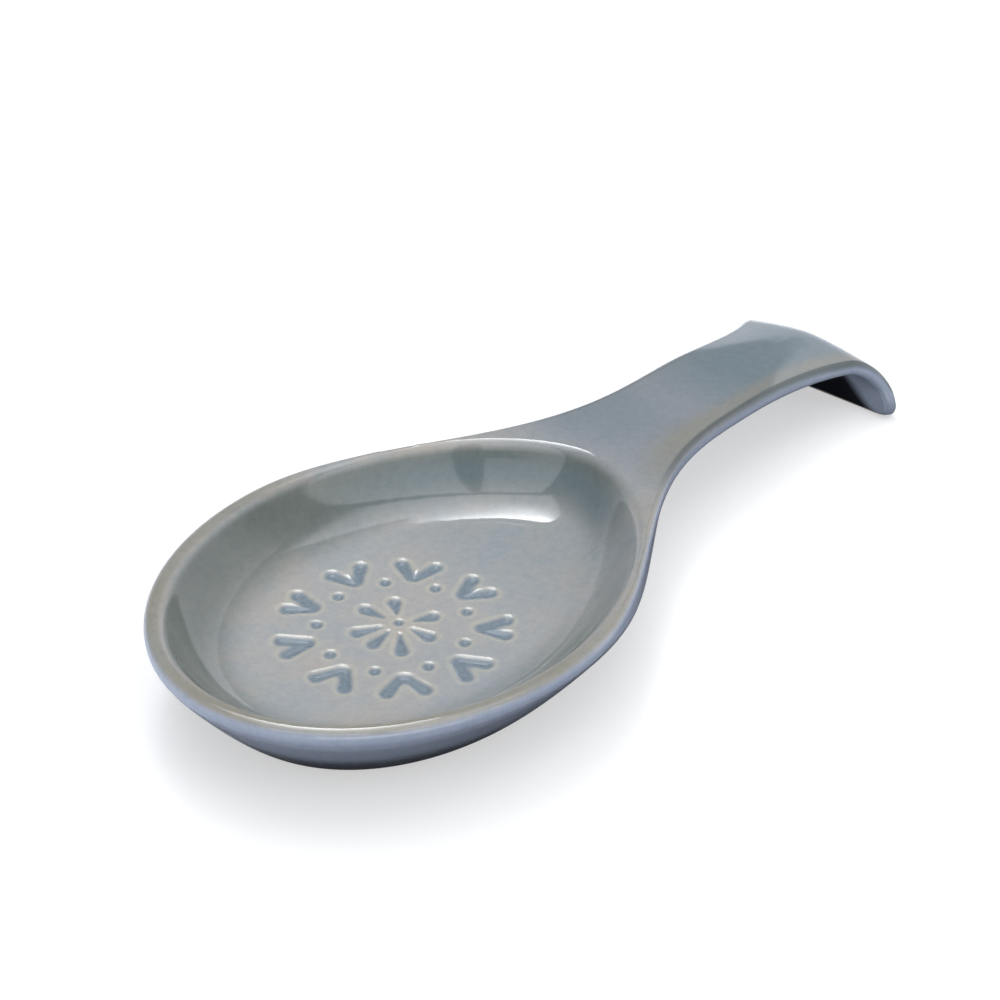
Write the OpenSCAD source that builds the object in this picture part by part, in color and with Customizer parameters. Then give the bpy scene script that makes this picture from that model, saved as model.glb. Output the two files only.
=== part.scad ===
// Spoon rest of glazed stoneware: an egg-shaped bowl whose rim runs out into a handle, which turns down
// to the table at its end. The front of the bowl points along -X, the handle along +X, and +Z is up.

/* [Bowl] */
// Outside width of the bowl at its widest place
bowl_w = 110.5; // [102:0.5:122]
// From the widest place to the front of the rim
bowl_front = 67; // [62:0.5:74]
// Height of the rim above the table
rim_h = 25.2; // [23:0.2:29]
// Height of the floor of the hollow above the table
floor_h = 11.4; // [9:0.2:13]
// Width of the rim, from its outside to the edge of the hollow
rim_w = 3.6; // [3.3:0.1:5]
// From the widest place to the back of the hollow
hollow_back = 73; // [67:0.5:79]
// Reach of the curved inner wall over the floor
wall_run = 20; // [16:1:22]
// Reach of the rounding where the rim turns into the hollow
rim_round = 1.4; // [0.8:0.2:1.6]

/* [Foot] */
// From the outside of the rim in to the edge of the base
base_inset = 20; // [17:1:23]
// From the back of the hollow to the back of the base
base_short = 17.5; // [14:0.5:20]
// Width of the foot ring
foot_w = 5; // [4:0.5:7]
// Height of the recess inside the foot ring
foot_h = 3.5; // [2:0.5:4]

/* [Handle] */
// Thickness of the handle
handle_t = 3.8; // [3.6:0.2:5.6]
// Width of the handle at its waist
waist_w = 32; // [28:0.4:40]
// From the widest place of the bowl to the waist
waist_at = 125; // [116:1:132]
// Width that the handle gains from its waist to its end
flare_w = 46; // [20:1:56]
// Length of the top from the widest place of the bowl to where the handle starts to fall
bend_at = 76; // [70:1:80]
// Length over which it starts to fall
bend_run = 52; // [30:1:60]
// Angle below level at the end of that length
handle_fall = 2; // [1:0.5:4]
// Length of the top from the widest place of the bowl to the start of the crest
crest_at = 169; // [160:1:176]
// Angle below level at the start of the crest
droop_angle = 6; // [5:1:12]
// Radius of the top where the handle turns down
crest_r = 13; // [9:0.5:16]
// Angle below level at which the lip ends
lip_angle = 89; // [76:1:92]
// How much lower the crest is at its sides than in its middle
crest_dome = 6; // [0:0.2:8]
// Length of the two rounded corners of the lip
lip_long = 18; // [12:1:20]
// Width of the two rounded corners of the lip
lip_round = 16; // [10:1:19]

/* [Stamps] */
// From the widest place forward to the middle of the ring of hearts
flower_front = 3.3; // [0:0.1:8]
// Depth of the stamped motifs
stamp_depth = 0.9; // [0.6:0.1:1.4]
// From the middle of the ring of hearts back to the middle of the daisy
daisy_back = 1.9; // [0:0.1:3]
// Diameter of the dot in the middle
middle_dot_d = 2.7; // [2:0.1:4]
// From the middle of the daisy to the point of a petal
petal_at = 3.8; // [3:0.1:5]
// Length of a petal
petal_l = 8.4; // [6:0.1:10]
// Width of a petal
petal_w = 4.2; // [3:0.1:5]
// Number of dots, and of hearts
heart_n = 9; // [6:1:9]
// From the middle of the ring to a dot
dot_at = 18.9; // [17:0.1:21]
// Diameter of a dot
dot_d = 3.2; // [2.4:0.1:4.2]
// From the middle of the ring to the point of a heart
heart_at = 20.1; // [19:0.1:22]
// Length of one lobe of a heart
lobe_l = 10.2; // [9:0.1:11]
// Width of one lobe of a heart
lobe_w = 4.4; // [3:0.1:5]
// Diameter of the root that joins the two lobes of a heart
root_d = 1.6; // [0.8:0.1:2.4]

/* [Glaze] */
// Thickness of the glaze coat
glaze_t = 0.4; // [0.3:0.05:0.6]
// Depth of the glaze that has run into the stamps
pool_t = 0.5; // [0.3:0.05:0.6]

/* [Hidden] */
$fn = 32;

// Turns of the motifs, in degrees, and sizes of the petals, as the hand set them
petal_turns = [-32.5, 49.5, 97.5, 153, 187, 226, 272.5];
petal_shares = [0.88, 0.89, 1, 1.06, 1.04, 1.15, 0.97];
heart_turn = -11;
lobe_splays = [27, 33.5, 30, 23, 21, 31, 34.5, 25.5, 22.5];

// Bends of the curves, as powers
hollow_bend = 1.77;
base_bend = 2;
wall_bend = 2.4;
under_bend = 1.26;
shoulder_bend = 2.08;
waist_bend = 3.8;
flare_bend = 4.06;
dome_bend = 1.5;

// Shares that round the edges and blend the underside
edge_share = 0.44;
under_run_share = 0.97;
under_blend_share = 0.1;

// How far a cut runs past the face that it opens
overrun = 0.2;

// Numbers of steps along the outline: round the front, along the base, up the back wall of the
// hollow, along the handle, over the crest, round a corner of the lip and along half of its end
front_n = 12;
floor_n = 8;
wall_n = 8;
handle_n = 8;
curl_n = 6;
corner_n = 5;
lip_n = 3;

// Numbers of steps round an edge, an egg and the round end of a drop
edge_n = 3;
egg_n = 72;
drop_n = 12;

// Where the rings of the surface lie on the inner wall, on the rounding of the rim and on the outer wall,
// as shares of their reach, and the least room between two rings, as a share of a spoke
wall_shares = [1, 0.72, 0.5, 0.33, 0.18];
rim_shares = [1, 0.3, -0.3, -1];
under_shares = [0, 0.12, 0.3, 0.5, 0.72, 0.95];
ring_room_share = 0.004;

// Sizes that follow from the ones above
edge_r = edge_share*handle_t;
base_back = hollow_back - base_short;
under_run = under_run_share*base_inset;
bend_r = bend_run*180/(PI*handle_fall);
bend_end = bend_at + bend_run;
droop_run = crest_at - bend_end;
droop_r = droop_run*180/(PI*(droop_angle - handle_fall));
crest_run = crest_r*(lip_angle - droop_angle)*PI/180;
curl_end = crest_at + crest_run;
lip_run = edge_r + (spine(curl_end).y - edge_r - (handle_t - edge_r)*cos(lip_angle))/sin(lip_angle);
end_s = curl_end + lip_run;
lip_s = end_s - lip_long;
curl_s = min(crest_at, lip_s - edge_r);
crest_h = spine(crest_at).y;
crest_half_w = half_width(curl_end);
top_insets = concat(wall_run*wall_shares, rim_round*rim_shares);
under_insets = -under_run*under_shares;

// Eggs that the hollow, the base and the recess follow: [front, back, side, power of the back half]
hollow_egg = [bowl_front - rim_w, hollow_back, bowl_w/2 - rim_w, hollow_bend];
base_egg = [bowl_front - base_inset, base_back, bowl_w/2 - base_inset, base_bend];
recess_egg = shrunk(base_egg, foot_w);

// A value held between 0 and 1, and the same with soft ends
function held(t) = min(max(t, 0), 1);
function eased(t) = held(t)*held(t)*(3 - 2*held(t));

// Step along an arc that falls from one angle below level to another
function fall_arc(r, from, to) = r*[sin(to) - sin(from), cos(to) - cos(from)];

// Angle below level of the top, at a length along it: it starts to fall, droops, then turns down
function fall(s) = handle_fall*held((s - bend_at)/bend_run);
function droop(s) = handle_fall + (droop_angle - handle_fall)*held((s - bend_end)/droop_run);
function curl(s) = droop_angle + (lip_angle - droop_angle)*held((s - crest_at)/crest_run);
function slope(s) = s < bend_end ? fall(s) : s < crest_at ? droop(s) : curl(s);

// Place in X and Z of the top, at a length along it from the widest place of the bowl
function spine(s) =
    [min(s, bend_at), rim_h]
    + fall_arc(bend_r, 0, fall(s))
    + fall_arc(droop_r, handle_fall, droop(s))
    + fall_arc(crest_r, droop_angle, curl(s))
    + max(s - curl_end, 0)*[cos(lip_angle), -sin(lip_angle)];

// Half of the width of the outline behind the widest place: shoulder, waist, then flare
function half_width(s) =
    waist_w/2
    + (bowl_w - waist_w)/2*pow(1 - pow(held(s/waist_at), shoulder_bend), waist_bend)
    + flare_w/2*pow(held((s - waist_at)/(end_s - waist_at)), flare_bend);

// An egg drawn in by a distance, and the power of its outline: the front half is an ellipse
function shrunk(egg, d) = [egg[0] - d, egg[1] - d, egg[2] - d, egg[3]];
function egg_power(egg, s) = s < 0 ? 2 : egg[3];

// Distance in from an egg, less than zero outside
function inset(s, y, egg) =
    let (
        n = egg_power(egg, s),
        long = s < 0 ? egg[0] : egg[1],
        u = abs(s)/long,
        v = abs(y)/egg[2],
        reach = pow(pow(u, n) + pow(v, n), 1/n),
        steep = norm([pow(u, n - 1)/long, pow(v, n - 1)/egg[2]])
    )
    reach == 0 ? egg[2] : (1 - reach)*pow(reach, n - 1)/steep;

// Rounded start of a slope, zero until the rounding begins
function rounded(d, r) = d < -r ? 0 : d > r ? d : (d + r)*(d + r)/(4*r);

// Depth of the top below the spine, which is the hollow of the bowl
function hollow_depth(s, y) =
    let (d = inset(s, y, hollow_egg))
    (spine(s).y - floor_h)*(1 - pow(1 - held(rounded(d, rim_round)/wall_run), wall_bend));

// Share of the way from the thickness of the handle down to the base
function under_share(v) =
    let (a = 1 - pow(max(v, 0), under_bend))
    min((a + norm([a, under_blend_share]))/2, 1);

// Depth of the underside below the spine
function under_depth(s, y) =
    let (d = inset(s, y, base_egg))
    handle_t + (spine(s).y - handle_t)*under_share(-d/under_run);

// Share of the height that the sides of the crest lack
function dome_share(s, y) =
    crest_dome/crest_h*pow(abs(y)/crest_half_w, dome_bend)*eased((s - waist_at)/(crest_at - waist_at));

// Point of the surface at a depth below the spine
function sunk(s, y, depth) =
    let (p = spine(s), a = slope(s))
    [p.x - depth*sin(a), y, (p.y - depth*cos(a))*(1 - dome_share(s, y))];

// Lengths split into equal steps, without the last
function spread(from, to, n) = [for (i = [0:n - 1]) from + (to - from)*i/n];

// Half of the outline from the front to the end of the lip, with the place on the axis that each
// spoke starts from: [length along the top, half width, start of the spoke]
half_outline = concat(
    [for (a = spread(0, 90, front_n)) [-bowl_front*cos(a), bowl_w/2*sin(a), 0]],
    [for (s = concat(
        spread(0, base_back, floor_n),
        spread(base_back, hollow_back + rim_round, wall_n),
        spread(hollow_back + rim_round, curl_s, handle_n),
        spread(curl_s, lip_s, curl_n)
    )) [s, half_width(s), s]],
    [for (i = [0:corner_n])
        let (a = 90*i/corner_n, s = lip_s + lip_long*sin(a))
        [s, half_width(s) - lip_round*(1 - cos(a)), lip_s]],
    [for (i = [1:lip_n]) [end_s, (half_width(end_s) - lip_round)*(1 - i/lip_n), lip_s]]
);
half_n = len(half_outline) - 1;
ring_n = 2*half_n;
axis_n = floor_n + wall_n + handle_n + curl_n;

// The outline all the way round, and the place on the axis that a spoke belongs to
function spoke(j) =
    let (p = half_outline[j <= half_n ? j : ring_n - j])
    j <= half_n ? p : [p[0], -p[1], p[2]];
function axis_place(j) =
    let (k = j % ring_n)
    min(max((k <= half_n ? k : ring_n - k) - front_n, 0), axis_n);

// Share of a spoke, from its start, at which it crosses an egg
function spoke_long(spoke) = norm([spoke[0] - spoke[2], spoke[1]]);
function crossing(spoke, egg) = spoke[0] < 0
    ? 1/norm([spoke[0]/egg[0], spoke[1]/egg[2]])
    : egg[2]*pow(1 - pow(held(spoke[2]/egg[1]), egg[3]), 1/egg[3])/spoke_long(spoke);

// The same for a ring at an inset, kept in its order on its face and clear of the rounded edge
function ring_share(spoke, egg, insets, i) =
    let (inner = 1 - edge_r/spoke_long(spoke), n = len(insets))
    min(
        max(crossing(spoke, shrunk(egg, insets[i])), inner*(i + 1)/(n + 1)),
        inner*(1 - (n - i)*ring_room_share)
    );
function edge_ring_share(spoke, a) = 1 - edge_r*(1 - cos(a))/spoke_long(spoke);

// Points on a spoke of the top and of the underside, drawn in by the rounded edge
function top_point(spoke, share, a) =
    let (s = spoke[2] + (spoke[0] - spoke[2])*share, y = spoke[1]*share)
    sunk(s, y, hollow_depth(s, y) + edge_r*(1 - sin(a)));
function under_point(spoke, share, a) =
    let (s = spoke[2] + (spoke[0] - spoke[2])*share, y = spoke[1]*share)
    sunk(s, y, under_depth(s, y) - edge_r*(1 - sin(a)));

// Rings of points from the middle of the top, over the edge, to the middle of the underside
spokes = [for (j = [0:ring_n - 1]) spoke(j)];
edge_angles = spread(0, 90, edge_n);
grid = concat(
    [for (i = [0:len(top_insets) - 1])
        [for (p = spokes) top_point(p, ring_share(p, hollow_egg, top_insets, i), 90)]],
    [for (a = edge_angles) [for (p = spokes) top_point(p, edge_ring_share(p, 90 - a), 90 - a)]],
    [[for (p = spokes) top_point(p, 1, 0)], [for (p = spokes) under_point(p, 1, 0)]],
    [for (i = [1:edge_n]) let (a = 90*i/edge_n) [for (p = spokes) under_point(p, edge_ring_share(p, a), a)]],
    [for (i = [len(under_insets) - 1:-1:0])
        [for (p = spokes) under_point(p, ring_share(p, base_egg, under_insets, i), 90)]]
);
rings_n = len(grid);

// Rings and spokes between which the coat leaves the clay bare
foot_ring = rings_n - 2;
bare_spokes = front_n + floor_n + 1;
lip_ring = len(top_insets) + edge_n;

axis_spots = [for (k = [0:axis_n]) half_outline[k + front_n][2]];
top_axis = [for (s = axis_spots) sunk(s, 0, hollow_depth(s, 0))];
under_axis = [for (s = axis_spots) sunk(s, 0, under_depth(s, 0))];
clay_points = concat([for (ring = grid) each ring], top_axis, under_axis);

// The middle of the whole length, which the part is centred on
middle_x = (min([for (p = clay_points) p.x]) + max([for (p = clay_points) p.x]))/2;

// Number of a point: ring -1 is the axis on top, ring rings_n the axis of the underside
function spot(i, j) =
    i < 0 ? rings_n*ring_n + axis_place(j)
    : i < rings_n ? i*ring_n + (j + ring_n) % ring_n
    : rings_n*ring_n + axis_n + 1 + axis_place(j);

// Outward direction of the surface at a point of the grid
function outward(i, j) =
    let (
        along = clay_points[spot(i, j + 1)] - clay_points[spot(i, j - 1)],
        across = clay_points[spot(i + 1, j)] - clay_points[spot(i - 1, j)],
        n = cross(along, across)
    )
    n/norm(n);

// Upward direction at a place on the axis of the top or the underside
function axis_upward(points, k) =
    let (along = points[min(k + 1, axis_n)] - points[max(k - 1, 0)])
    [-along.z, 0, along.x]/norm(along);

coat_points = concat(
    [for (i = [0:rings_n - 1]) for (j = [0:ring_n - 1]) grid[i][j] + glaze_t*outward(i, j)],
    [for (k = [0:axis_n]) top_axis[k] + glaze_t*axis_upward(top_axis, k)],
    [for (k = [0:axis_n]) under_axis[k] - glaze_t*axis_upward(under_axis, k)]
);

// Triangles of a face with four corners, less what has shrunk to a line
function halves(a, b, c, d) =
    concat(a == d || d == c ? [] : [[a, d, c]], a == b || b == c ? [] : [[a, c, b]]);
function cell(i, j) = halves(spot(i, j), spot(i, j + 1), spot(i + 1, j + 1), spot(i + 1, j));

// Cells that stay bare of the coat: the base with its foot, and the line that the lip stands on
function bare(i, j) =
    let (k = (j + ring_n) % ring_n)
    (i >= foot_ring && (k < bare_spokes || k >= ring_n - bare_spokes))
    || (abs(i - lip_ring) <= edge_n && abs(k + 1/2 - half_n) < lip_n + 1);

// Triangle list turned over, and moved on to another set of points
function turned(faces, shift) = [for (f = faces) [f[2] + shift, f[1] + shift, f[0] + shift]];
function moved(faces, shift) = [for (f = faces) [f[0] + shift, f[1] + shift, f[2] + shift]];

// Wall of the coat between two neighbouring points, from the clay to the outside
function coat_wall(a, b) = halves(a, b, b + len(clay_points), a + len(clay_points));

function coat_cell(i, j) = concat(
    moved(cell(i, j), len(clay_points)),
    turned(cell(i, j), 0),
    bare(i - 1, j) ? coat_wall(spot(i, j), spot(i, j + 1)) : [],
    bare(i, j + 1) ? coat_wall(spot(i, j + 1), spot(i + 1, j + 1)) : [],
    bare(i + 1, j) ? coat_wall(spot(i + 1, j + 1), spot(i + 1, j)) : [],
    bare(i, j - 1) ? coat_wall(spot(i + 1, j), spot(i, j)) : []
);

// Outline of an egg
function egg_outline(egg) = [for (a = spread(0, 360, egg_n))
    let (n = egg_power(egg, cos(a)), x = pow(abs(cos(a)), 2/n), y = pow(abs(sin(a)), 2/n))
    [(cos(a) < 0 ? -egg[0] : egg[1])*x, sign(sin(a))*egg[2]*y]
];

// Outline of a drop with its point at the start and a round end
function drop(long, wide) =
    let (r = wide/2, end = 90 + asin(r/(long - r)))
    concat([[0, 0]], [for (i = [0:drop_n]) let (a = end*(2*i/drop_n - 1)) [long - r + r*cos(a), r*sin(a)]]);

module petals() {
    for (i = [0:len(petal_turns) - 1])
        translate([daisy_back, 0]) rotate(petal_turns[i]) translate([petal_shares[i]*petal_at, 0])
            polygon(drop(petal_shares[i]*petal_l, petal_w));
}

module dots() {
    translate([daisy_back, 0]) circle(d = middle_dot_d);
    for (i = [0:heart_n - 1])
        rotate(heart_turn + 360*(i + 1/2)/heart_n) translate([dot_at, 0]) circle(d = dot_d);
}

module hearts() {
    for (i = [0:heart_n - 1])
        rotate(heart_turn + 360*i/heart_n) translate([heart_at, 0]) {
            circle(d = root_d);
            for (side = [-1, 1])
                rotate(side*lobe_splays[i % len(lobe_splays)]) polygon(drop(lobe_l, lobe_w));
        }
}

// The motifs pressed down into the floor, and the glaze that lies in the bottom of some of them
module stamp() {
    translate([-flower_front, 0, floor_h - stamp_depth]) linear_extrude(rim_h - floor_h + stamp_depth) {
        petals();
        dots();
        hearts();
    }
}

module pool() {
    translate([-flower_front - middle_x, 0, floor_h - stamp_depth]) linear_extrude(pool_t) children();
}

module stoneware_body() {
    color("tan") translate([-middle_x, 0, 0]) difference() {
        polyhedron(clay_points, [for (i = [-1:rings_n - 1]) for (j = [0:ring_n - 1]) each cell(i, j)]);
        translate([0, 0, -overrun]) linear_extrude(foot_h + overrun) polygon(egg_outline(recess_egg));
        stamp();
    }
}

module glaze_coat() {
    color("lightslategray") translate([-middle_x, 0, 0]) difference() {
        polyhedron(
            concat(clay_points, coat_points),
            [for (i = [-1:rings_n - 1]) for (j = [0:ring_n - 1]) if (!bare(i, j)) each coat_cell(i, j)]
        );
        stamp();
    }
}

module base_glaze() {
    color("slategray") translate([-middle_x, 0, foot_h - glaze_t]) linear_extrude(glaze_t)
        polygon(egg_outline(recess_egg));
}

module petal_glaze() {
    color("steelblue") pool() petals();
}

module dot_glaze() {
    color("steelblue") pool() dots();
}

module heart_glaze() {
    color("steelblue") pool() hearts();
}

stoneware_body();
glaze_coat();
base_glaze();
petal_glaze();
dot_glaze();
heart_glaze();
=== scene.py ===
import math

import bpy
import numpy as np
from mathutils import Matrix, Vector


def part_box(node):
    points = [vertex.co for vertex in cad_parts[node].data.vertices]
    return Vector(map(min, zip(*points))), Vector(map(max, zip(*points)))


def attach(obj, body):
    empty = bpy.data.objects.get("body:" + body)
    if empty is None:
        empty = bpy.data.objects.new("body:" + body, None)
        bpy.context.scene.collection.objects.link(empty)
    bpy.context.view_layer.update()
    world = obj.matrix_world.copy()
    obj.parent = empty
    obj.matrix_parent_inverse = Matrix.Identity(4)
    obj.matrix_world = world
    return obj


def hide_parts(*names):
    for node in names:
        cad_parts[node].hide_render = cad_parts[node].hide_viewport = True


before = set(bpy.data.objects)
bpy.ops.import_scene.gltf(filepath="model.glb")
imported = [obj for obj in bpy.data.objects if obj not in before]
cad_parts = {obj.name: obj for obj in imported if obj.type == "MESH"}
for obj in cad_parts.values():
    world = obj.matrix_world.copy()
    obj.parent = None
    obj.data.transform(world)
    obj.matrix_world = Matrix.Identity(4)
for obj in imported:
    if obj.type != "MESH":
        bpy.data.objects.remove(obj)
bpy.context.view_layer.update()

# Sizes of the part in millimetres, as its source names them
BOWL_W, BOWL_FRONT, RIM_H, FLOOR_H = 110.5, 67.0, 25.2, 11.4
RIM_W, HOLLOW_BACK, WALL_RUN, RIM_ROUND = 3.6, 73.0, 20.0, 1.4
BASE_INSET, BASE_SHORT, FOOT_W, FOOT_H = 20.0, 17.5, 5.0, 3.5
HANDLE_T, WAIST_W, WAIST_AT, FLARE_W = 3.8, 32.0, 125.0, 46.0
BEND_AT, BEND_RUN, CREST_AT, CREST_R = 76.0, 52.0, 169.0, 13.0
CREST_DOME, LIP_LONG, LIP_ROUND = 6.0, 18.0, 16.0
FALL, DROOP, LIP = math.radians(2), math.radians(6), math.radians(89)
FLOWER_FRONT, DAISY_BACK, STAMP_DEPTH, GLAZE_T = 3.3, 1.9, 0.9, 0.4
MIDDLE_DOT_D, DOT_AT, DOT_D = 2.7, 18.9, 3.2
PETAL_AT, PETAL_L, PETAL_W = 3.8, 8.4, 4.2
HEART_AT, LOBE_L, LOBE_W, HEART_TURN = 20.1, 10.2, 4.4, -11
PETALS = ((-32.5, 0.88), (49.5, 0.89), (97.5, 1), (153, 1.06), (187, 1.04), (226, 1.15), (272.5, 0.97))
LOBE_SPLAYS = (27, 33.5, 30, 23, 21, 31, 34.5, 25.5, 22.5)
ROOTS = {"petal": 0.8, "heart": 1.6}
EDGE_R = 0.44*HANDLE_T
UNDER_RUN = 0.97*BASE_INSET
BEND_END = BEND_AT + BEND_RUN
BEND_R = BEND_RUN/FALL
DROOP_RUN = CREST_AT - BEND_END
DROOP_R = DROOP_RUN/(DROOP - FALL)
CREST_RUN = CREST_R*(LIP - DROOP)
CURL_END = CREST_AT + CREST_RUN

# Powers of the curves of the outline, the wall of the hollow, the outside of the bowl and the crest
SHOULDER_START, SHOULDER_END, FLARE_POWER = 2.08, 3.8, 4.06
WALL_POWER, UNDER_POWER, DOME_POWER = 2.4, 1.26, 1.5

# Eggs of the hollow and the base: front, back, side, power of the back half
HOLLOW_EGG = (BOWL_FRONT - RIM_W, HOLLOW_BACK, BOWL_W/2 - RIM_W, 1.77)
BASE_EGG = (BOWL_FRONT - BASE_INSET, HOLLOW_BACK - BASE_SHORT, BOWL_W/2 - BASE_INSET, 2.0)

# The stamps as the glaze softens them: depth, side, ridge pushed up round them, crotch of the hearts
SHOWN_DEPTH = 0.75*STAMP_DEPTH
SIDE_START, SIDE_W = -1.7, 2.3
RIDGE_H, RIDGE_AT, RIDGE_W = 0.03, 0.9, 0.45
CROTCH = 2.0

# How far out stamps are looked for, and the distance that stands for none near
FLOWER_R, FAR_OFF = 36, 9.0

# How softly the outside of the bowl runs into the handle: at least, added, and where that comes in
BLEND_LEAST, BLEND_MORE, BLEND_START, BLEND_RUN = 0.02, 0.08, 45, 40

# The inner side of the foot, the finer rings about it, and the glaze within: its gap and its waves
FOOT_SIDE, FOOT_FINE, BASE_GAP = 1, 0.6, 0.2
BASE_WAVE_H, BASE_WAVE_L, BASE_SEED = 0.08, 30, 5

# Coat at its bare borders and round the edge, and the pools: their edge, rise, sunk rim and root
BARE_LIP_H, BARE_FOOT, COAT_END_T, EDGE_COAT = 0.8, 0.4, 0.12, 0.9
POOL_EDGE, POOL_RISE, POOL_SUNK, POOL_ROOT = 0.2, 0.07, 0.02, 0.15

# Camera from the fit of the outline: unit in metres, focal length and size of the picture in pixels,
# width of the sensor, tilt, turn, middle in pixels and the place in units that lies there
UNIT, FOCAL, PICTURE, SENSOR = 0.245e-3, 2400.0, 1000, 36
TILT, TURN = math.radians(32.653), math.radians(49.455)
MIDDLE_U, MIDDLE_V = 393.4, 626.277
LOOKED_AT = (-13.469, 0, 48.082)

# Steps of the fine mesh
SPOKES, ARC, RIM_STEPS, EDGE_STEPS = 360, 32, 2, 6
NECK_ROWS, HANDLE_ROWS, CREST_ROWS, CORNER_ROWS = 26, 58, 14, 16
NECK_END = 88.0
FINE_R, FINE_RINGS, BASE_RINGS = 31.4, 66, 10

# The search for an edge along a spoke: its reach and how often it is halved
FARTHEST, HALVINGS = 140.0, 48

MIDDLE = -BOWL_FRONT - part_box("stoneware_body")[0][0]*1000


def held(t):
    """Kept from 0 to 1."""
    return np.clip(t, 0, 1)


def eased(t):
    """From 0 to 1 with soft ends."""
    return held(t)**2*(3 - 2*held(t))


def rising(value, start, run):
    """From 0 to 1, eased, while a value goes through a run from its start."""
    return eased((value - start)/run)


def hump(value, middle, width):
    """1 at the middle and less to both sides."""
    return np.exp(-((value - middle)/width)**2)


def slopes(s):
    """Angles below level at which a length along the top leaves the fall, the droop and the curl."""
    fall = FALL*held((s - BEND_AT)/BEND_RUN)
    droop = FALL + (DROOP - FALL)*held((s - BEND_END)/DROOP_RUN)
    return fall, droop, DROOP + (LIP - DROOP)*held((s - CREST_AT)/CREST_RUN)


def slope(s):
    """Angle below level of the top at a length along it."""
    fall, droop, curl = slopes(s)
    return np.where(s < BEND_END, fall, np.where(s < CREST_AT, droop, curl))


def spine(s):
    """Place in X and Z of the top at a length along it from the widest place of the bowl."""
    fall, droop, curl = slopes(s)
    lip = np.maximum(s - CURL_END, 0)
    x = np.minimum(s, BEND_AT) + BEND_R*np.sin(fall) + DROOP_R*(np.sin(droop) - math.sin(FALL))
    x = x + CREST_R*(np.sin(curl) - math.sin(DROOP)) + lip*math.cos(LIP)
    z = RIM_H + BEND_R*(np.cos(fall) - 1) + DROOP_R*(np.cos(droop) - math.cos(FALL))
    z = z + CREST_R*(np.cos(curl) - math.cos(DROOP)) - lip*math.sin(LIP)
    return x, z


curl_z = float(spine(np.array(CURL_END))[1])
END_S = CURL_END + EDGE_R + (curl_z - EDGE_R - (HANDLE_T - EDGE_R)*math.cos(LIP))/math.sin(LIP)
LIP_S = END_S - LIP_LONG


def half_width(s):
    """Half of the width of the outline: shoulder, waist and flare, and an ellipse at the front."""
    shoulder = (BOWL_W - WAIST_W)/2*(1 - held(s/WAIST_AT)**SHOULDER_START)**SHOULDER_END
    flare = FLARE_W/2*held((s - WAIST_AT)/(END_S - WAIST_AT))**FLARE_POWER
    front = BOWL_W/2*np.sqrt(held(1 - (s/BOWL_FRONT)**2))
    return np.where(s < 0, front, WAIST_W/2 + shoulder + flare)


CREST_HALF = float(half_width(np.array(CURL_END)))
CREST_H = float(spine(np.array(CREST_AT))[1])


def inset(s, y, egg):
    """Distance in from an egg, less than zero outside."""
    n = np.where(s < 0, 2.0, egg[3])
    long = np.where(s < 0, egg[0], egg[1])
    u, v = np.abs(s)/long + 1e-9, np.abs(y)/egg[2] + 1e-9
    reach = (u**n + v**n)**(1/n)
    steep = np.hypot(u**(n - 1)/long, v**(n - 1)/egg[2])
    return (1 - reach)*reach**(n - 1)/steep


def shrunk(egg, d):
    """The egg made smaller all round."""
    return (egg[0] - d, egg[1] - d, egg[2] - d, egg[3])


def wall_share(s, y):
    """How far the hollow has come down: 0 on the rim, 1 on the floor."""
    d = inset(s, y, HOLLOW_EGG)
    soft = np.where(d < -RIM_ROUND, 0, np.where(d > RIM_ROUND, d, (d + RIM_ROUND)**2/(4*RIM_ROUND)))
    return 1 - (1 - held(soft/WALL_RUN))**WALL_POWER


def drop_distance(x, y, long, wide, root):
    """Distance from a drop whose blunt root touches the origin and whose round end lies along X."""
    r = wide/2
    h = long - r - root
    b = (root - r)/h
    a = math.sqrt(1 - b*b)
    x, y = x - root, np.abs(y)
    k = a*x - b*y
    side = a*y + b*x - root
    return np.where(k < 0, np.hypot(x, y) - root, np.where(k > a*h, np.hypot(x - h, y) - r, side))


def motifs():
    """Kind, place of the point, turn, length and width of each stamp, about the middle of the ring."""
    found = [("dot", DAISY_BACK, 0.0, 0.0, MIDDLE_DOT_D, MIDDLE_DOT_D)]
    for turn, share in PETALS:
        a, reach = math.radians(turn), share*PETAL_AT
        place = DAISY_BACK + reach*math.cos(a), reach*math.sin(a)
        found.append(("petal", *place, a, share*PETAL_L, PETAL_W))
    step = 2*math.pi/len(LOBE_SPLAYS)
    for i, splay in enumerate(LOBE_SPLAYS):
        a = math.radians(HEART_TURN) + step*i
        for side in (-1, 1):
            b = a + side*math.radians(splay)
            found.append(("heart", HEART_AT*math.cos(a), HEART_AT*math.sin(a), b, LOBE_L, LOBE_W))
        a = a + step/2
        found.append(("dot", DOT_AT*math.cos(a), DOT_AT*math.sin(a), a, DOT_D, DOT_D))
    return found


MOTIFS = motifs()


def joined(a, b):
    """The lesser of two distances, with a soft crotch where the two shapes meet."""
    near = np.maximum(CROTCH - np.abs(a - b), 0)/CROTCH
    return np.minimum(a, b) - near**2*CROTCH/4


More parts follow.
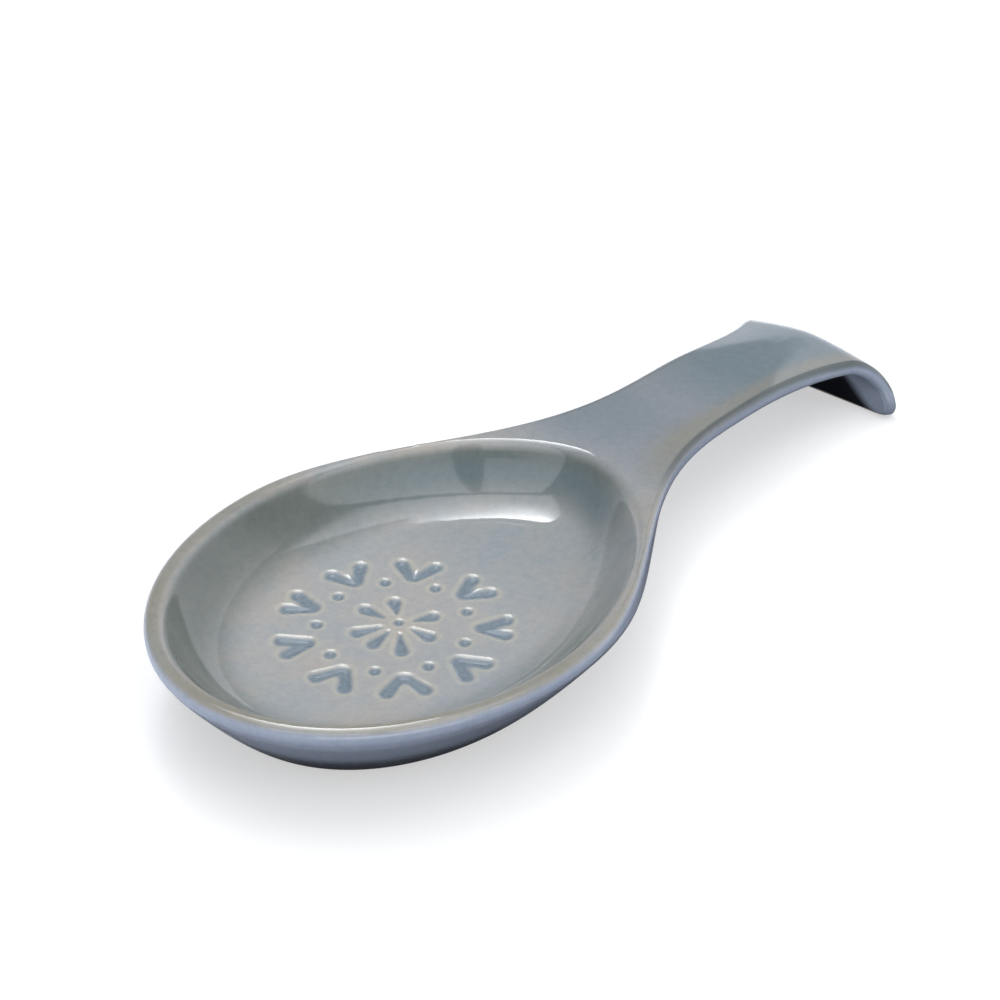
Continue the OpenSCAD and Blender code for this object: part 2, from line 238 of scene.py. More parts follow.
def stamp_distance(s, y, kinds=("dot", "petal", "heart")):
    """Distance from the nearest stamped motif of some kinds, less than zero inside it."""
    best = np.full(np.shape(s), FAR_OFF)
    near = np.hypot(s + FLOWER_FRONT, y) < FLOWER_R
    px, py = s[near] + FLOWER_FRONT, y[near]
    found = {"dot": [], "petal": [], "heart": []}
    for kind, x0, y0, a, long, wide in MOTIFS:
        dx, dy = px - x0, py - y0
        if kind == "dot":
            d = np.hypot(dx, dy) - wide/2
        else:
            along = dx*math.cos(a) + dy*math.sin(a)
            across = dy*math.cos(a) - dx*math.sin(a)
            d = drop_distance(along, across, long, wide, ROOTS[kind])
        found[kind].append(d)
    lobes = found["heart"]
    found["heart"] = [joined(one, other) for one, other in zip(lobes[::2], lobes[1::2])]
    best[near] = np.min([d for kind in kinds for d in found[kind]], axis=0)
    return best


def stamp_sunk(d):
    """Depth of the soft-edged stamp, with the low ridge that it pushes up round itself."""
    return SHOWN_DEPTH*(1 - rising(d, SIDE_START, SIDE_W)) - RIDGE_H*hump(d, RIDGE_AT, RIDGE_W)


def pooled_share(d, dot):
    """How much glaze has run together at a distance from a motif: less far in for a dot."""
    return 1 - rising(d, np.where(dot, -0.4, -0.7), 0.8)


def wobble(s, y, size, seed):
    """Slow unevenness of a hand-made surface, from -1 to 1."""
    rng = np.random.default_rng(seed)
    full, count = 6.28, 6
    turns, waves, phases = (rng.uniform(*span, count) for span in ((0, full), (0.7, 1.5), (0, full)))
    total = np.zeros(np.shape(s))
    for turn, wave, phase in zip(turns, waves, phases):
        total = total + np.sin((s*math.cos(turn) + y*math.sin(turn))*full/(size*wave) + phase)
    return total/count


def sunk(s, y, depth):
    """Points at a depth under the top, whose crest is lower towards its corners."""
    x, z = spine(s)
    a = slope(s)
    dome = CREST_DOME/CREST_H*(np.abs(y)/CREST_HALF)**DOME_POWER*rising(s, WAIST_AT, CREST_AT - WAIST_AT)
    return np.stack([x - depth*np.sin(a) - MIDDLE, y, (z - depth*np.cos(a))*(1 - dome)], -1)


def top_at(s, y, turn=math.pi/2):
    """The rim, the hollow with its stamps and the top of the handle, down to a turn of the round edge."""
    z = spine(s)[1]
    depth = (z - FLOOR_H)*wall_share(s, y) + EDGE_R*(1 - math.sin(turn))
    return sunk(s, y, depth + stamp_sunk(stamp_distance(s, y)))


def under_at(s, y, turn=math.pi/2):
    """The outside of the bowl, its foot and the underside of the handle, up to a turn of the round edge."""
    z = spine(s)[1]
    d = inset(s, y, BASE_EGG)
    a = 1 - np.maximum(-d/UNDER_RUN, 0)**UNDER_POWER
    soft = BLEND_LEAST + BLEND_MORE*rising(s, BLEND_START, BLEND_RUN)
    share = np.minimum((a + np.hypot(a, soft))/2, 1)
    recess = FOOT_H*rising(d, FOOT_W - FOOT_SIDE/2, FOOT_SIDE)
    depth = HANDLE_T + (z - HANDLE_T)*share - EDGE_R*(1 - math.sin(turn)) - recess
    return sunk(s, y, depth)


def ray_reach(turns, outside):
    """Distance from the middle of the flower along each turn at which outside() turns positive."""
    low, high = np.zeros(len(turns)), np.full(len(turns), FARTHEST)
    for _ in range(HALVINGS):
        mid = (low + high)/2
        out = outside(mid*np.cos(turns) - FLOWER_FRONT, mid*np.sin(turns)) > 0
        low, high = np.where(out, low, mid), np.where(out, mid, high)
    return (low + high)/2


TURNS = np.arange(SPOKES)*2*math.pi/SPOKES
RAYS = np.stack([np.cos(TURNS), np.sin(TURNS)], -1)


def egg_reach(egg, d):
    """Distance along each spoke to an egg made smaller by d."""
    return ray_reach(TURNS, lambda s, y: -inset(s, y, shrunk(egg, d)))


RING = egg_reach(HOLLOW_EGG, -RIM_ROUND)


def outline_reach(s, y):
    """More than zero outside the outline."""
    return np.where(s < 0, (s/BOWL_FRONT)**2 + (2*y/BOWL_W)**2 - 1, np.abs(y) - half_width(s))


def width_lean(s, step=0.01):
    """How fast the half width grows along the top."""
    return (half_width(s + step) - half_width(s - step))/(2*step)


def border():
    """Outline and outward directions at the rim's spokes and at one side of the handle's rows."""
    turns = TURNS[np.arange(ARC, SPOKES - ARC + 1)]
    reach = ray_reach(turns, outline_reach)
    s, y = reach*np.cos(turns) - FLOWER_FRONT, reach*np.sin(turns)
    n = np.where(s < 0, s/BOWL_FRONT**2, -width_lean(s)), np.where(s < 0, 4*y/BOWL_W**2, np.sign(y))
    rim = np.stack([s, y], -1), np.stack(n, -1)/np.hypot(*n)[:, None]
    lengths = np.concatenate([
        np.linspace(s[0], NECK_END, NECK_ROWS + 1)[1:],
        np.linspace(NECK_END, CREST_AT, HANDLE_ROWS + 1)[1:],
        np.linspace(CREST_AT, LIP_S, CREST_ROWS + 1)[1:],
    ])
    corner = np.linspace(0, math.pi/2, CORNER_ROWS + 1)[1:]
    s = np.concatenate([lengths, LIP_S + LIP_LONG*np.sin(corner)])
    cut = np.concatenate([0*lengths, LIP_ROUND*(1 - np.cos(corner))])
    y = half_width(s) - cut
    bend = np.concatenate([0*lengths, corner])
    n = LIP_ROUND*np.sin(bend) - width_lean(s)*LIP_LONG*np.cos(bend), LIP_LONG*np.cos(bend)
    n = np.stack(n, -1)/np.hypot(*n)[:, None]
    n[-1] = 1, 0
    return rim, (np.stack([s, y], -1), n)


(RIM_OUT, RIM_DIR), (SIDE_OUT, SIDE_DIR) = border()


def quads(rows):
    """Faces between the points of successive rows."""
    found = np.stack([rows[:-1, :-1], rows[1:, :-1], rows[1:, 1:], rows[:-1, 1:]], -1)
    return [tuple(q) for q in found.reshape(-1, 4)]


def band(one, other):
    """Faces between two loops of points."""
    return list(zip(one, other, np.roll(other, -1), np.roll(one, -1)))


def disc(radii):
    """Points in the plane, numbers per ring and faces of rings about the middle of the flower."""
    centre = np.array([[-FLOWER_FRONT, 0.0]])
    points = np.concatenate([centre, (centre + radii[:, :, None]*RAYS).reshape(-1, 2)])
    at = 1 + np.arange(radii.size).reshape(radii.shape)
    fan = [(0, a, b) for a, b in zip(at[0], np.roll(at[0], -1))]
    return points, at, fan + quads(np.concatenate([at, at[:, :1]], 1))


def sheet(radii):
    """Points in the plane, faces and border of the top or the underside, from its rings about the flower.

    The border comes with the outline point and the outward direction of each of its points."""
    points, at, faces = disc(radii)
    spokes = np.arange(ARC, SPOKES - ARC + 1)
    start, edge = points[at[-1][spokes]], RIM_OUT - EDGE_R*RIM_DIR
    strip = [start + (edge - start)*i/RIM_STEPS for i in range(1, RIM_STEPS + 1)]
    added = len(points) + np.arange(RIM_STEPS*len(spokes)).reshape(RIM_STEPS, -1)
    rows = np.concatenate([[at[-1][spokes]], added])
    faces += quads(rows)
    points = np.concatenate([points] + strip)

    arc = at[-1][np.arange(-ARC + 1, ARC)]
    first = np.concatenate([rows[::-1, -1], arc, rows[:, 0]])
    side = SIDE_OUT - EDGE_R*SIDE_DIR
    begin = points[first]
    share = begin[:, 1]/begin[-1, 1]
    neck = side[NECK_ROWS - 1, 0]
    extra = []
    for i, (s, y) in enumerate(side):
        along = held((s - begin[-1, 0])/(neck - begin[-1, 0]))
        lengths = np.full(len(first), s)
        if i < NECK_ROWS - 1:
            lengths = begin[:, 0] + (neck - begin[:, 0])*along
        extra.append(np.stack([lengths, share*y], -1))
    added = len(points) + np.arange(len(side)*len(first)).reshape(len(side), -1)
    lines = np.concatenate([[first], added])
    faces += quads(lines)
    points = np.concatenate([points] + extra)

    flip = np.array([1, -1])
    tip = np.stack([np.full(len(first) - 2, END_S), points[lines[-1, 1:-1], 1]], -1)
    loop = np.concatenate([rows[-1], lines[1:, 0], lines[-1, 1:-1], lines[1:, -1][::-1]])
    out = np.concatenate([RIM_OUT, SIDE_OUT*flip, tip, SIDE_OUT[::-1]])
    way = np.concatenate([RIM_DIR, SIDE_DIR*flip, np.tile([1.0, 0.0], (len(tip), 1)), SIDE_DIR[::-1]])
    return points, faces, loop, out, way


def rings_between(*stops):
    """Radii of rings through stops, which are pairs of radii per spoke and steps up to them."""
    radii, last = [], np.zeros(SPOKES)
    for reach, steps in stops:
        radii += [last + (reach - last)*i/steps for i in range(1, steps + 1)]
        last = reach
    return np.array(radii)


def body_mesh():
    """Points, faces, places in the plane and layers: 0 on top, 1 half way round the edge, 3 underneath."""
    top_rings = rings_between(
        (np.full(SPOKES, FINE_R), FINE_RINGS),
        (egg_reach(HOLLOW_EGG, WALL_RUN), 3),
        (egg_reach(HOLLOW_EGG, RIM_ROUND), 20),
        (RING, 6),
    )
    under_rings = rings_between(
        (egg_reach(BASE_EGG, FOOT_W + FOOT_FINE), 12),
        (egg_reach(BASE_EGG, FOOT_W - FOOT_FINE), 5),
        (egg_reach(BASE_EGG, 0), 4),
        (egg_reach(BASE_EGG, -1.5), 4),
        (RING, 16),
    )
    top, faces, last, out, way = sheet(top_rings)
    points = [top_at(top[:, 0], top[:, 1])]
    flat = [top]
    layer = [np.zeros(len(top))]
    count = len(top)
    steps = np.arange(EDGE_STEPS)
    upper = zip(math.pi/2*(1 - (steps + 1)/EDGE_STEPS), (steps + 1)/EDGE_STEPS)
    lower = zip(math.pi/2*steps/EDGE_STEPS, 1 + (steps + 0.5)/EDGE_STEPS)
    for at, half in ((top_at, upper), (under_at, lower)):
        for turn, level in half:
            ring = out - way*EDGE_R*(1 - math.cos(turn))
            points.append(at(ring[:, 0], ring[:, 1], turn))
            flat.append(ring)
            layer.append(np.full(len(ring), level))
            now = count + np.arange(len(ring))
            count += len(ring)
            faces += band(last, now)
            last = now
    under, under_faces, under_loop, _, _ = sheet(under_rings)
    points.append(under_at(under[:, 0], under[:, 1]))
    flat.append(under)
    layer.append(np.full(len(under), 3.0))
    faces += band(last, count + under_loop)
    faces += [tuple(count + i for i in f[::-1]) for f in under_faces]
    return np.concatenate(points), faces, np.concatenate(flat), np.concatenate(layer)


def outward(points, faces):
    """Direction of the surface at each point."""
    total = np.zeros_like(points)
    for n in (3, 4):
        part = np.array([f for f in faces if len(f) == n])
        across = points[part[:, 2]] - points[part[:, 0]]
        along = points[part[:, n - 1]] - points[part[:, 1]]
        normal = np.cross(across, along)
        for k in range(n):
            np.add.at(total, part[:, k], normal)
    return total/np.maximum(np.linalg.norm(total, axis=1), 1e-9)[:, None]


def open_edges(part):
    """Edges of some faces that no other of them shares."""
    sides = {(a, b) for f in part for a, b in zip(f, f[1:] + f[:1])}
    return [(a, b) for a, b in sorted(sides) if (b, a) not in sides]


def closed_sheet(inner, outer, part):
    """Points and faces of the closed sheet between two surfaces over some faces, and the points used."""
    used = np.unique(np.concatenate([np.array(f) for f in part]))
    place = np.full(len(inner), -1)
    place[used] = np.arange(len(used))
    n = len(used)
    shell = [tuple(place[i] for i in f) for f in part]
    shell += [tuple(n + place[i] for i in f[::-1]) for f in part]
    shell += [(place[b], place[a], n + place[a], n + place[b]) for a, b in open_edges(part)]
    return np.concatenate([outer[used], inner[used]]), shell, used


def piece(name, points, faces, material, slot, nodes, **values):
    """A smooth mesh that replaces CAD nodes, from points in millimetres."""
    mesh = bpy.data.meshes.new(name)
    mesh.from_pydata((points/1000).tolist(), [], [tuple(int(i) for i in f) for f in faces])
    mesh.polygons.foreach_set("use_smooth", [True]*len(mesh.polygons))
    for key, value in values.items():
        mesh.attributes.new(key, "FLOAT", "POINT").data.foreach_set("value", np.asarray(value, np.float32))
    mesh.update()
    made = bpy.data.objects.new(name, mesh)
    bpy.context.scene.collection.objects.link(made)
    mesh.materials.append(material)
    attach(made, "root")
    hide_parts(*nodes)


class Nodes:
    """The node tree of a material or a world, with short ways to add and join nodes."""

    def __init__(self, owner, shader="Principled BSDF"):
        owner.use_nodes = True
        self.owner = owner
        self.tree = owner.node_tree
        self.shader = self.tree.nodes[shader]

    def add(self, kind, **values):
        node = self.tree.nodes.new(kind)
        for key, value in values.items():
            setattr(node, key, value)
        return node

    def feed(self, socket, given):
        """Gives a socket a number, a colour or what another node puts out."""
        if isinstance(given, (int, float)):
            socket.default_value = given
        elif isinstance(given, tuple):
            socket.default_value = (*given, 1)
        else:
            self.tree.links.new(given, socket)

    def give(self, name, given):
        """Gives an input of the shader its value."""
        self.feed(self.shader.inputs[name], given)

    def value(self, name):
        return self.add("ShaderNodeAttribute", attribute_name=name).outputs["Fac"]

    def place(self, kind):
        return self.add("ShaderNodeTexCoord").outputs[kind]

    def noise(self, scale, detail, rough):
        node = self.add("ShaderNodeTexNoise")
        node.inputs["Scale"].default_value = scale
        node.inputs["Detail"].default_value = detail
        node.inputs["Roughness"].default_value = rough
        self.feed(node.inputs["Vector"], self.place("Object"))
        return node.outputs["Fac"]

    def math(self, operation, a, b, clamp=False):
        node = self.add("ShaderNodeMath", operation=operation, use_clamp=clamp)
        self.feed(node.inputs[0], a)
        self.feed(node.inputs[1], b)
        return node.outputs[0]

    def line(self, value, steep, start):
        return self.math("ADD", self.math("MULTIPLY", value, steep), start)

    def ramp(self, factor, *stops):
        node = self.add("ShaderNodeValToRGB")
        ramp = node.color_ramp
        while len(ramp.elements) < len(stops):
            ramp.elements.new(0.5)
        for element, (place, colour) in zip(ramp.elements, stops):
            element.position = place
            element.color = (*colour, 1)
        self.feed(node.inputs["Fac"], factor)
        return node.outputs["Color"]

    def mix(self, factor, a, b, blend="MIX"):
        node = self.add("ShaderNodeMix", data_type="RGBA", blend_type=blend)
        for number, given in ((0, factor), (6, a), (7, b)):
            self.feed(node.inputs[number], given)
        return node.outputs[2]

    def bump(self, height, strength, distance):
        node = self.add("ShaderNodeBump")
        node.inputs["Strength"].default_value = strength
        node.inputs["Distance"].default_value = distance
        self.feed(node.inputs["Height"], height)
        self.give("Normal", node.outputs["Normal"])


def srgb(*levels):
    """Linear colour of 8-bit levels."""
    return tuple(v/12.92 if v <= 0.04045 else ((v + 0.055)/1.055)**2.4 for v in (n/255 for n in levels))


def grey(level):
    return level, level, level


# Colours that the glaze takes by its thickness and place, and its painted shade in the crease and
# underneath
TEAL = srgb(100, 114, 120)
POOLED = srgb(113, 125, 134)
THIN = srgb(130, 127, 116)
HALO = srgb(170, 168, 156)
# Painted shade: the dark line in the crease near the handle's edges
CREASE_SHADE = srgb(74, 78, 74)
# Painted shade: near black under the lip and low on the bowl
UNDER_SHADE = srgb(10, 12, 20)

# Roughness and reflection of the gloss, and what they change by in the stamps
GLOSS_ROUGH, STAMP_ROUGH, CLOUD_ROUGH = 0.03, 0.2, 0.05
GLOSS_LEVEL, STAMP_LEVEL = 0.5, 0.2


def glaze_material():
    """Gloss glaze that changes colour where it is thin or pooled, with painted shade on the wall of the
    hollow, in the crease and underneath.
    """
    m = Nodes(bpy.data.materials.new("breaking_glaze"))
    cloud = m.noise(45, 5, 0.6)
    drift = m.noise(16, 2, 0.5)
    fleck = m.noise(420, 3, 0.65)
    grain = m.noise(1500, 2, 0.6)
    floor = m.ramp(
        cloud, (0.35, srgb(149, 154, 157)), (0.5, srgb(156, 156, 155)), (0.68, srgb(162, 157, 152))
    )
    # Painted shade: the darker olive of the wall of the hollow
    wall = m.ramp(cloud, (0.3, srgb(98, 104, 100)), (0.7, srgb(108, 113, 107)))
    handle = m.ramp(drift, (0.35, srgb(118, 127, 133)), (0.65, srgb(134, 137, 142)))
    outer = m.ramp(drift, (0.3, srgb(150, 159, 177)), (0.7, srgb(162, 171, 188)))
    ragged = m.line(cloud, 0.7, 0.62)
    thin = m.math("MULTIPLY", m.value("thin"), ragged, True)
    colour = floor
    for share, other in (
        (m.value("handle"), handle),
        (m.value("wall"), wall),
        (m.value("teal"), TEAL),
        (m.value("outer"), outer),
        (m.value("pooled"), POOLED),
        (thin, THIN),
        (m.value("halo"), HALO),
        (m.value("crease_shade"), CREASE_SHADE),
        (m.value("under_shade"), UNDER_SHADE),
    ):
        colour = m.mix(share, colour, other)
    speck = m.ramp(grain, (0.28, grey(0.80)), (0.42, grey(1)), (0.7, grey(1.05)))
    mottle = m.ramp(fleck, (0.3, (0.88, 0.92, 0.95)), (0.5, grey(1)), (0.7, (1.10, 1.06, 1.05)))
    colour = m.mix(0.4, colour, speck, "MULTIPLY")
    colour = m.mix(0.7, colour, mottle, "MULTIPLY")
    m.give("Base Color", colour)
    stamped = m.math("ADD", m.value("halo"), m.value("pooled"))
    rough = m.line(cloud, CLOUD_ROUGH, GLOSS_ROUGH)
    m.give("Roughness", m.math("ADD", rough, m.math("MULTIPLY", stamped, STAMP_ROUGH)))
    quiet = m.math("MINIMUM", stamped, 1.0)
    m.give("Specular IOR Level", m.line(quiet, STAMP_LEVEL - GLOSS_LEVEL, GLOSS_LEVEL))
    m.bump(m.noise(140, 2, 0.5), 0.10, 0.0004)
    return m.owner


def clay_material():
    """Bare fired clay with dark specks."""
    m = Nodes(bpy.data.materials.new("bare_stoneware"))
    cloud = m.noise(180, 5, 0.6)
    grain = m.noise(1600, 3, 0.7)
    colour = m.ramp(cloud, (0.3, srgb(182, 160, 134)), (0.7, srgb(206, 188, 164)))
    speck = m.ramp(grain, (0.3, srgb(120, 96, 76)), (0.4, grey(1)))
    m.give("Base Color", m.mix(0.6, colour, speck, "MULTIPLY"))
    m.give("Roughness", 0.85)
    m.bump(grain, 0.4, 0.0003)
    return m.owner


def pool_material():
    """The bluer glaze in the stamps, paler towards their edges."""
    m = Nodes(bpy.data.materials.new("pooled_glaze"))
    cloud = m.noise(400, 3, 0.5)
    colour = m.ramp(cloud, (0.3, srgb(111, 123, 132)), (0.7, srgb(115, 127, 136)))
    m.give("Base Color", m.mix(m.value("pooled"), srgb(158, 159, 154), colour))
    m.give("Roughness", m.line(cloud, CLOUD_ROUGH, 0.25))
    m.give("Specular IOR Level", STAMP_LEVEL)
    return m.owner


GLAZE = glaze_material()
CLAY = clay_material()
POOL = pool_material()

# The clay, all round
points, faces, flat, layer = body_mesh()
s, y = flat[:, 0], flat[:, 1]
ways = outward(points, faces)
piece("clay_body", points, faces, CLAY, "clay", ["stoneware_body"])

# The coat that lies on it down to the bare foot and the bare line of the lip
bare = (points[:, 2] < BARE_LIP_H) | ((layer == 3) & (inset(s, y, BASE_EGG) > -BARE_FOOT))
coated = [f for f in faces if not bare[list(f)].any()]
coat_t = GLAZE_T*np.where(layer > 0, EDGE_COAT, 1.0)
for a, _ in open_edges(coated):
    coat_t[a] = COAT_END_T
outer_points = points + ways*coat_t[:, None]
skin, shell, used = closed_sheet(points, outer_points, coated)

# Where the glaze lies on the handle or outside, and the painted shade on the wall of the hollow
deep = inset(s, y, HOLLOW_EGG)
on_top = layer == 0
on_handle = rising(s, 62, 26)
side = half_width(s) - np.abs(y)
to_back = rising(s, 5, 45)
# Painted shade: a band down the wall of the hollow, narrower towards the back
wall = rising(deep, -0.4, 2)*(1 - rising(deep, 6 - 2.5*to_back, 16 - 6*to_back))
# Less of it on the near right wall towards the back, where the wall is painted lighter as a painted
# reflection
wall = np.where(on_top, wall, 0)*(1 - 0.9*to_back*rising(-y, 8, 20))
handle = np.where(layer < 1, rising(s, HOLLOW_BACK - 20, 34), 0)*(1 - rising(deep, 0, 2))
teal = np.where(layer < 1, 0.8*rising(s, 104, 34), 0)
teal = np.maximum(teal, (0.25 + 0.5*wall)*rising(deep, 0, 4)*rising(s, 8, 40))
outer = np.where(layer < 1, rising(layer, 0.25 + 0.2*on_handle, 0.55), 1.0)

# Where it is thin: along the rim, less so at the back, and along the near side of the handle
neck = 1 - rising(s, 85, 40)
shoulder = on_handle*hump(side, 3.6 + neck, 2.8 + 3*neck)*(1 - 0.85*rising(y, -4, 8))
rim_band = (1 - rising(deep, -0.6, 1.6))*(1 - rising(s, 56, 22))
rim_band = rim_band*(1 - rising(s, -5, 30)*np.where(y > 0, 0.7, 0.5)*rising(np.abs(y), 0, 20))
edge_band = 0.8*(1 - on_handle)*(1 - rising(layer, 0.2, 0.6))
thin = np.where(on_top, np.maximum(0.85*rim_band, 0.75*shoulder), 0)
thin = np.where((layer > 0) & (layer < 1), edge_band, thin)
# Painted shade: a dark line in the crease near both edges of the handle's top
crease_shade = np.where(layer < 1, 0.9*on_handle*hump(side, 1.0, 0.7), 0)

# Where it is pale round the stamps and blue in them
stamp = np.where(on_top, stamp_distance(s, y), FAR_OFF)
halo = np.where(on_top, 0.6*hump(stamp, 0.55, 0.5), 0)
pooled = np.where(on_top, pooled_share(stamp, stamp_distance(s, y, ("dot",)) <= stamp), 0)

# Painted shade, near black: under the lip, low on the bowl and a little on the end of the lip
under_lip = rising(s, CREST_AT - 6, 9)*rising(side, 11.5, 6)
under_bowl = (1 - rising(s, 50, 20))*(1 - rising(points[:, 2], 7.5, 7))
lip_end = np.where(layer > 0.5, 0.12*rising(s, CREST_AT, 15), 0)
under_shade = np.where(layer == 3, np.maximum(under_lip, 0.8*under_bowl), lip_end)

VALUES = dict(
    wall=wall, handle=handle, teal=teal, outer=outer, thin=thin, halo=halo, crease_shade=crease_shade,
    pooled=pooled, under_shade=under_shade,
)
doubled = {key: np.concatenate([value[used], value[used]]) for key, value in VALUES.items()}
piece("glaze_skin", skin, shell, GLAZE, "glaze", ["glaze_coat"], **doubled)


def pool_mesh(kinds):
    """Closed pools of glaze in some motifs, their rims sunk in the coat, and how pooled each point is."""
    d = np.where(on_top, stamp_distance(s, y, kinds), FAR_OFF)
    part = [f for f in coated if d[list(f)].min() < -POOL_EDGE]
    rise = POOL_RISE*rising(-d, 0.1, 0.8) - POOL_SUNK
    root, surface = outer_points - POOL_ROOT*ways, outer_points + rise[:, None]*ways
    found, shell, used = closed_sheet(root, surface, part)
    deepness = pooled_share(d[used], "dot" in kinds)
    return found, shell, np.concatenate([deepness, deepness])


for kind in ("petal", "dot", "heart"):
    found, shell, deepness = pool_mesh((kind,))
    piece(f"{kind}_pools", found, shell, POOL, "pooled_glaze", [f"{kind}_glaze"], pooled=deepness)

# Glaze on the recessed base
recess, at, sides = disc(rings_between((egg_reach(BASE_EGG, FOOT_W + BASE_GAP), BASE_RINGS)))
n = len(recess)
waves = wobble(recess[:, 0], recess[:, 1], BASE_WAVE_L, BASE_SEED)
low = FOOT_H - GLAZE_T + BASE_WAVE_H*waves
below = np.stack([recess[:, 0] - MIDDLE, recess[:, 1], low], -1)
above = np.stack([recess[:, 0] - MIDDLE, recess[:, 1], np.full(n, FOOT_H)], -1)
closed = [tuple(f[::-1]) for f in sides] + [tuple(n + i for i in f) for f in sides]
closed += [(a, b, n + b, n + a) for a, b in zip(at[-1], np.roll(at[-1], -1))]
plain = {key: np.full(2*n, float(key == "outer")) for key in VALUES}
piece("base_pool", np.concatenate([below, above]), closed, GLAZE, "glaze", ["base_glaze"], **plain)

# The paper that it stands on: half width in metres, and how far below the foot
PAPER_HALF, PAPER_LOW = 3, 0.0002


def stage_material():
    """White to the camera, with a painted shadow near the object that only reflections and bounced light
    see.
    """
    m = Nodes(bpy.data.materials.new("white_paper"))
    seen = m.add("ShaderNodeLightPath").outputs["Is Camera Ray"]
    apart = m.add("ShaderNodeVectorMath", operation="MULTIPLY_ADD")
    m.feed(apart.inputs[0], m.place("Object"))
    apart.inputs[1].default_value = (0.7, 1, 0)
    apart.inputs[2].default_value = (0, 0.10, 0)
    length = m.add("ShaderNodeVectorMath", operation="LENGTH")
    m.feed(length.inputs[0], apart.outputs[0])
    # Painted shadow: the paper is dark close to the object, off to its front and right, for all rays but
    # the camera's
    shade = m.ramp(length.outputs["Value"], (0.11, (0.14, 0.145, 0.16)), (0.17, (0.85, 0.86, 0.9)))
    m.give("Base Color", m.mix(seen, shade, grey(0.97)))
    m.give("Roughness", 0.9)
    m.give("Specular IOR Level", 0)
    blend = m.add("ShaderNodeMixShader")
    m.feed(blend.inputs[0], m.math("MULTIPLY", seen, 0.5))
    m.feed(blend.inputs[1], m.shader.outputs[0])
    m.feed(blend.inputs[2], m.add("ShaderNodeEmission").outputs[0])
    m.feed(m.tree.nodes["Material Output"].inputs["Surface"], blend.outputs[0])
    return m.owner


floor_mesh = bpy.data.meshes.new("paper")
corners = [(PAPER_HALF*i, PAPER_HALF*k, 0) for i, k in ((-1, -1), (1, -1), (1, 1), (-1, 1))]
floor_mesh.from_pydata(corners, [], [(0, 1, 2, 3)])
floor_mesh.materials.append(stage_material())
paper = bpy.data.objects.new("paper", floor_mesh)
paper.location.z = -PAPER_LOW
bpy.context.scene.collection.objects.link(paper)

# Directions on the floor as the camera sees them, and the place in the bowl that the lamp faces
RIGHT = np.array([math.cos(TURN), -math.sin(TURN), 0])
AWAY = np.array([math.sin(TURN), math.cos(TURN), 0])
LAMP_AIM = np.array([-0.04, 0, 0.01])

# Light of the dim room, of its bright wall and the tint of its lamps
DIM, BRIGHT, LAMP_TINT = (0.22, 0.24, 0.26), (0.98, 1.0, 1.10), (0.88, 0.89, 0.91)


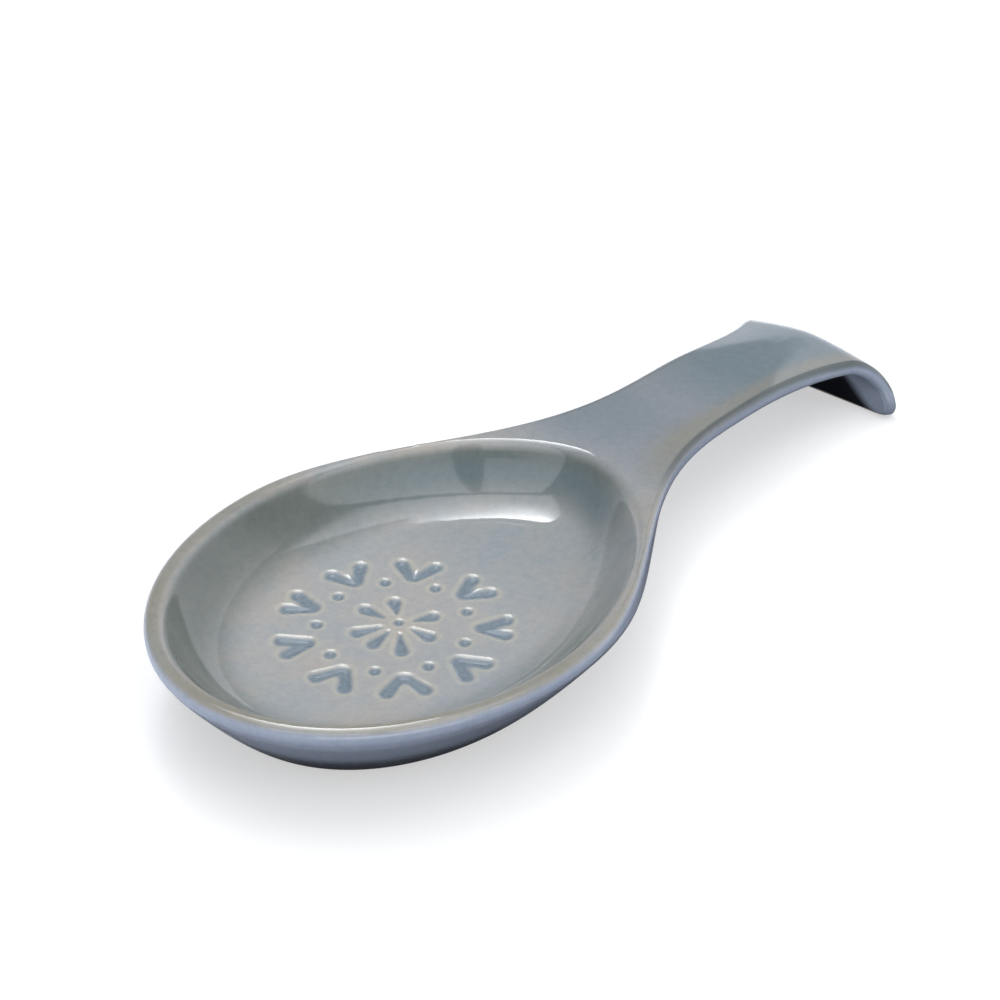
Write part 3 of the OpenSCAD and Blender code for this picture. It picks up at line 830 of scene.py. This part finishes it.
def studio_world():
    """A dim room: a bright wall ahead on the right, a softbox overhead and two panels behind the camera."""
    w = Nodes(bpy.data.worlds.new("studio"), "Background")
    way = w.place("Generated")
    line = w.line

    def share(direction):
        node = w.add("ShaderNodeVectorMath", operation="DOT_PRODUCT")
        w.feed(node.inputs[0], way)
        node.inputs[1].default_value = direction
        return node.outputs["Value"]

    def within(*edges):
        """The share that lies inside all of some edges, each a distance and how crisp it is."""
        total = 1.0
        for distance, crisp in edges:
            total = w.math("MULTIPLY", total, w.math("MULTIPLY", distance, crisp, True))
        return total

    # The wall, under an edge that climbs to the right, and its soft corner on the left
    right, away, up = share(RIGHT), share(AWAY), share((0, 0, 1))
    edge = w.math("MINIMUM", line(right, 1.9, 0.05), line(right, 0.9, 0.2))
    ahead = within((w.math("SUBTRACT", edge, up), 40), (away, 4))
    corner = within((line(up, -1, 0.4), 2.5), (line(right, -1, 0.1), 3), (away, 4))
    colour = w.mix(w.math("MAXIMUM", ahead, corner), DIM, BRIGHT)

    # Places on a level ceiling one metre up
    height = w.math("MAXIMUM", up, 0.05)
    x, y = w.math("DIVIDE", right, height), w.math("DIVIDE", away, height)
    over = w.math("MAXIMUM", x, 0)

    # The softbox, with a far edge that falls off to both sides and a hot middle
    far = w.math("MAXIMUM", line(over, -3.5, 0.98), 0.38)
    far = w.math("SUBTRACT", far, w.math("MAXIMUM", line(x, -1, -0.05), 0))
    box = within(
        (w.math("SUBTRACT", far, y), 25), (line(y, 1, 0.23), 30),
        (line(x, 1, 0.52), 12), (line(x, -1, 0.68), 5),
    )
    middle = w.math("POWER", line(x, 5.9, 0.71), 2)
    hot = w.math("MULTIPLY", w.math("EXPONENT", line(middle, -1, 0), 0), 22)
    hot = w.math("MULTIPLY", hot, w.math("POWER", w.math("MAXIMUM", y, 0), 1.3))
    box = w.math("MULTIPLY", box, w.math("ADD", hot, 2.3))

    # The panels, with slanted ends and a gap between them
    lean = w.math("DIVIDE", right, w.math("MAXIMUM", line(away, -1, 0), 0.02))
    one_side = w.math("SUBTRACT", x, line(y, -0.047, 0.058))
    other_side = w.math("SUBTRACT", line(y, -0.345, 0.04), x)
    gap = within((one_side, 40), (other_side, 40))
    near = w.math("SUBTRACT", line(y, -1, -0.27), w.math("MULTIPLY", over, 0.06))
    ends = within((line(lean, 1, 1.15), 12), (line(lean, -1, 2.6), 3))
    panel = within((near, 30), (line(y, 1, 1.25), 10), (ends, 1), (line(gap, -1, 1), 1))
    panel = w.math("MULTIPLY", panel, line(y, 1.2, 2.8))

    # Neither shows near the horizon
    level = w.math("MULTIPLY", w.math("ADD", box, panel), w.math("MULTIPLY", line(up, 1, -0.1), 20, True))
    tinted = w.add("ShaderNodeCombineColor")
    for socket, tint in zip(tinted.inputs, LAMP_TINT):
        w.feed(socket, w.math("MULTIPLY", level, tint))
    w.give("Color", w.mix(1, colour, tinted.outputs[0], "ADD"))
    return w.owner


bpy.context.scene.world = studio_world()


def placed(name, data, axes, place):
    """An object with the given columns of axes, at a place."""
    made = bpy.data.objects.new(name, data)
    matrix = Matrix.Identity(4)
    for i in range(3):
        for k in range(3):
            matrix[i][k] = axes[i, k]
        matrix[i][3] = place[i]
    made.matrix_world = matrix
    bpy.context.scene.collection.objects.link(made)
    return made


def lamp(name, across, away, up, size, level):
    """A softbox that faces the bowl, of a given brightness; its place is in metres from the bowl."""
    data = bpy.data.lights.new(name, "AREA")
    data.shape = "RECTANGLE"
    data.size, data.size_y = size
    data.energy = level*math.pi*size[0]*size[1]
    place = LAMP_AIM + across*RIGHT + away*AWAY + (0, 0, up)
    z = (place - LAMP_AIM)/np.linalg.norm(place - LAMP_AIM)
    x = np.cross((0, 0, 1), z)
    x = x/np.linalg.norm(x)
    placed(name, data, np.column_stack([x, np.cross(z, x), z]), place)


lamp("panel_low", 0.35, -1.30, 0.30, (1.60, 0.50), 2.6)

# Camera
turned = np.array([[math.cos(TURN), -math.sin(TURN), 0], [math.sin(TURN), math.cos(TURN), 0], [0, 0, 1]])
axes = np.array([[1, 0, 0], [0, math.sin(TILT), math.cos(TILT)], [0, math.cos(TILT), -math.sin(TILT)]])
ray = np.array([(MIDDLE_U - PICTURE/2)/FOCAL, -(MIDDLE_V - PICTURE/2)/FOCAL, 1])
place = turned.T @ (-(axes.T @ ray)*FOCAL) + LOOKED_AT
place = place*UNIT - (MIDDLE/1000, 0, 0)
axes = axes @ turned
camera_data = bpy.data.cameras.new("camera")
camera_data.lens = SENSOR*FOCAL/PICTURE
camera_data.sensor_width = SENSOR
camera = placed("camera", camera_data, np.column_stack([axes[0], axes[1], -axes[2]]), place)
bpy.context.scene.camera = camera
bpy.context.scene.view_settings.view_transform = "Standard"
